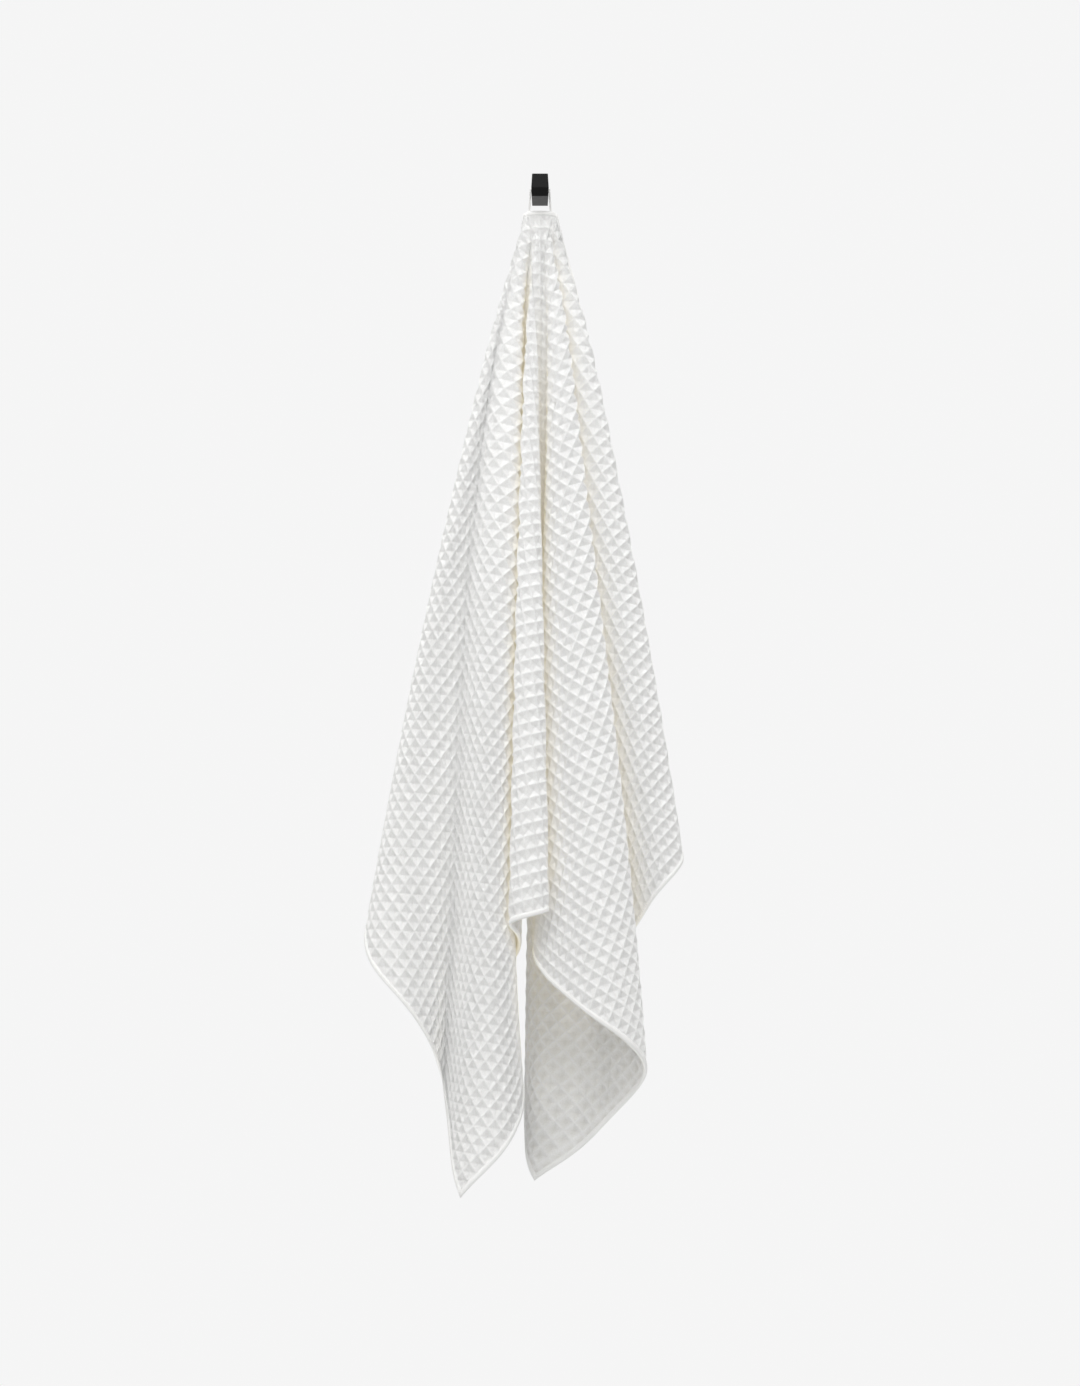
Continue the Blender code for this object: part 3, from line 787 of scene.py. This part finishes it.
def build_loop():
    """The tape, its section carried along the middle line; both feet are cut level with the ground."""
    line, section = loop_line(), tape_section()
    walked = np.concatenate(([0.0], np.cumsum(np.linalg.norm(np.diff(line, axis=0), axis=1))))
    along = np.gradient(line, axis=0)
    along /= np.linalg.norm(along, axis=1, keepdims=True)
    out = np.stack((-along[:, 1], along[:, 0]), axis=1)
    out[0], out[-1] = (-1.0, 0.0), (1.0, 0.0)
    verts, flat = [], []
    for (x, z), (ox, oz), s in zip(line, out, walked):
        for t, w in section:
            verts.append((x + ox * t, TOWEL_TOP[1] + w, z + oz * t))
            flat.append((w + t, s))
    count = len(section)
    faces = [tuple(range(count)), tuple(range(len(verts) - 1, len(verts) - count - 1, -1))]
    for i in range(len(line) - 1):
        for k in range(count):
            a, b = i * count + k, i * count + (k + 1) % count
            faces.append((a, b, b + count, a + count))
    mesh = bpy.data.meshes.new("loop_tape")
    mesh.from_pydata(verts, [], faces)
    turn_faces_out(mesh)
    layer = mesh.uv_layers.new(name="cloth")
    for loop in mesh.loops:
        layer.data[loop.index].uv = flat[loop.vertex_index]
    mesh.materials.append(plain_weave("white_tape_look", TAPE_WEAVE))
    smooth_faces(mesh)
    mesh.set_sharp_from_angle(angle=math.radians(SHARP_ANGLE))
    return link("loop_tape", mesh)


def stitch_rows():
    """Middles of the stitches along each side of the towel, and the way that they run."""
    half = 0.5 * TOWEL_LENGTH
    rows = []
    for v in (STITCH_INSET, TOWEL_DROP - STITCH_INSET):
        middles = np.arange(-half + STITCH_PITCH, half - STITCH_PITCH, STITCH_PITCH)
        rows.append((middles, np.full_like(middles, v), (1.0, 0.0)))
    for u in (-half + STITCH_INSET, half - STITCH_INSET):
        middles = np.arange(STITCH_PITCH, TOWEL_DROP - STITCH_PITCH, STITCH_PITCH)
        rows.append((np.full_like(middles, u), middles, (0.0, 1.0)))
    return rows


def build_stitches():
    """Each stitch is a low six-sided thread between two points of the hem."""
    rim = len(STITCH_SHAPE) - 1
    verts, faces = [], []
    for us, vs, (du, dv) in stitch_rows():
        for facing in (1.0, -1.0):
            corners = []
            for lengthwise, sideways, rise in STITCH_SHAPE:
                u = us + du * lengthwise * STITCH_LENGTH + dv * sideways * STITCH_HALF_WIDTH
                v = vs + dv * lengthwise * STITCH_LENGTH + du * sideways * STITCH_HALF_WIDTH
                normal = facing * sheet_normals(u, v)
                level = inner_limit(u, v, normal, np.full_like(u, STITCH_RISE))
                corners.append(towel_points(u, v) + normal * (level + rise * STITCH_HALF_WIDTH)[..., None])
            for stitch in np.stack(corners, axis=1):
                base = len(verts)
                verts.extend(map(tuple, stitch))
                for k in range(rim):
                    faces.append((base + k, base + (k + 1) % rim, base + rim))
    mesh = bpy.data.meshes.new("hem_stitches")
    mesh.from_pydata(verts, [], faces)
    turn_faces_out(mesh)
    n = Nodes("white_thread_look")
    n.shade(Normal=n.bump(n.noise(n.object_place(), STITCH_NOISE), STITCH_FUZZ))
    n.surface(STITCH_SURFACE)
    mesh.materials.append(n.material)
    smooth_faces(mesh)
    return link("hem_stitches", mesh)


def paint_hook():
    """Satin black paint with a fine orange-peel surface on the hook."""
    n = Nodes("black_paint_look")
    place = n.object_place()
    colour = n.ramp(n.noise(place, SPECKLE_NOISE), SPECKLE_SPAN, PAINT_SHADE, PAINT_LIGHT)
    wear = n.math("ADD", n.math("MULTIPLY", n.noise(place, WEAR_NOISE), WEAR_SPREAD), WEAR_LEAST)
    peel = n.bump(n.noise(place, PEEL_NOISE), PEEL_HEIGHT, strength=PEEL_STRENGTH)
    n.shade(Base_Color=colour, Roughness=wear, Normal=peel)
    n.surface(PAINT_SURFACE)
    for hook_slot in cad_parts["hook"].material_slots:
        hook_slot.material = n.material


def build_sky():
    """Soft light from all round, brighter from above, and the plain pale background."""
    world = bpy.data.worlds.new("pale_studio")
    world.use_nodes = True
    tree = world.node_tree
    direction = tree.nodes.new("ShaderNodeTexCoord")
    parts = tree.nodes.new("ShaderNodeSeparateXYZ")
    rise = tree.nodes.new("ShaderNodeMapRange")
    sky = tree.nodes.new("ShaderNodeValToRGB")
    rise.inputs["From Min"].default_value = -1.0
    tree.links.new(direction.outputs["Generated"], parts.inputs[0])
    tree.links.new(parts.outputs[2], rise.inputs["Value"])
    tree.links.new(rise.outputs[0], sky.inputs[0])
    tree.links.new(sky.outputs[0], tree.nodes["Background"].inputs["Color"])
    stops = sky.color_ramp.elements
    for stop, (position, level) in zip(stops, (SKY[0], SKY[-1])):
        stop.position = position
        stop.color = (level, level, level, 1.0)
    for position, level in SKY[1:-1]:
        stops.new(position).color = (level, level, level, 1.0)
    bpy.context.scene.view_settings.view_transform = "Standard"
    bpy.context.scene.world = world


def build_floor():
    mesh = bpy.data.meshes.new("floor")
    edit = bmesh.new()
    bmesh.ops.create_circle(edit, cap_ends=True, segments=FLOOR_SIDES, radius=FLOOR_RADIUS)
    edit.to_mesh(mesh)
    edit.free()
    floor = link("floor", mesh)
    floor.location = FLOOR_MIDDLE
    n = Nodes("pale_floor")
    n.shade(Base_Color=n.ramp(n.noise(n.object_place(), FLOOR_NOISE), FLOOR_SPAN, FLOOR_SHADE, FLOOR_LIGHT))
    n.surface(FLOOR_SURFACE)
    mesh.materials.append(n.material)


def build_lights():
    for name, place, target, size, power, colour in LIGHTS:
        data = bpy.data.lights.new(name, "AREA")
        data.shape = "RECTANGLE"
        data.size, data.size_y = size
        data.energy = power
        data.color = colour
        lamp = bpy.data.objects.new(name, data)
        lamp.location = place
        aim = np.array(target) - np.array(place)
        tip = math.atan2(math.hypot(aim[0], aim[1]), -aim[2])
        lamp.rotation_euler = (tip, 0.0, math.atan2(aim[0], -aim[1]) + math.pi)
        bpy.context.scene.collection.objects.link(lamp)


def build_camera():
    data = bpy.data.cameras.new("camera")
    data.sensor_fit = "VERTICAL"
    data.sensor_height = SENSOR
    data.lens = SENSOR * FOCAL_PIXELS / IMAGE_HEIGHT
    data.clip_start = CLIP_START
    camera = bpy.data.objects.new("camera", data)
    camera.location = (0.0, -CAMERA_DISTANCE, CAMERA_HEIGHT)
    camera.rotation_euler = (math.radians(90.0), 0.0, 0.0)
    bpy.context.scene.collection.objects.link(camera)
    bpy.context.scene.camera = camera


build_camera()
build_sky()
build_floor()
build_lights()
paint_hook()
towel = build_towel()
loop = build_loop()
stitches = build_stitches()
for piece in (towel, loop, stitches):
    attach(piece, "root")
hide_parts("towel")
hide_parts("hanging_loop")
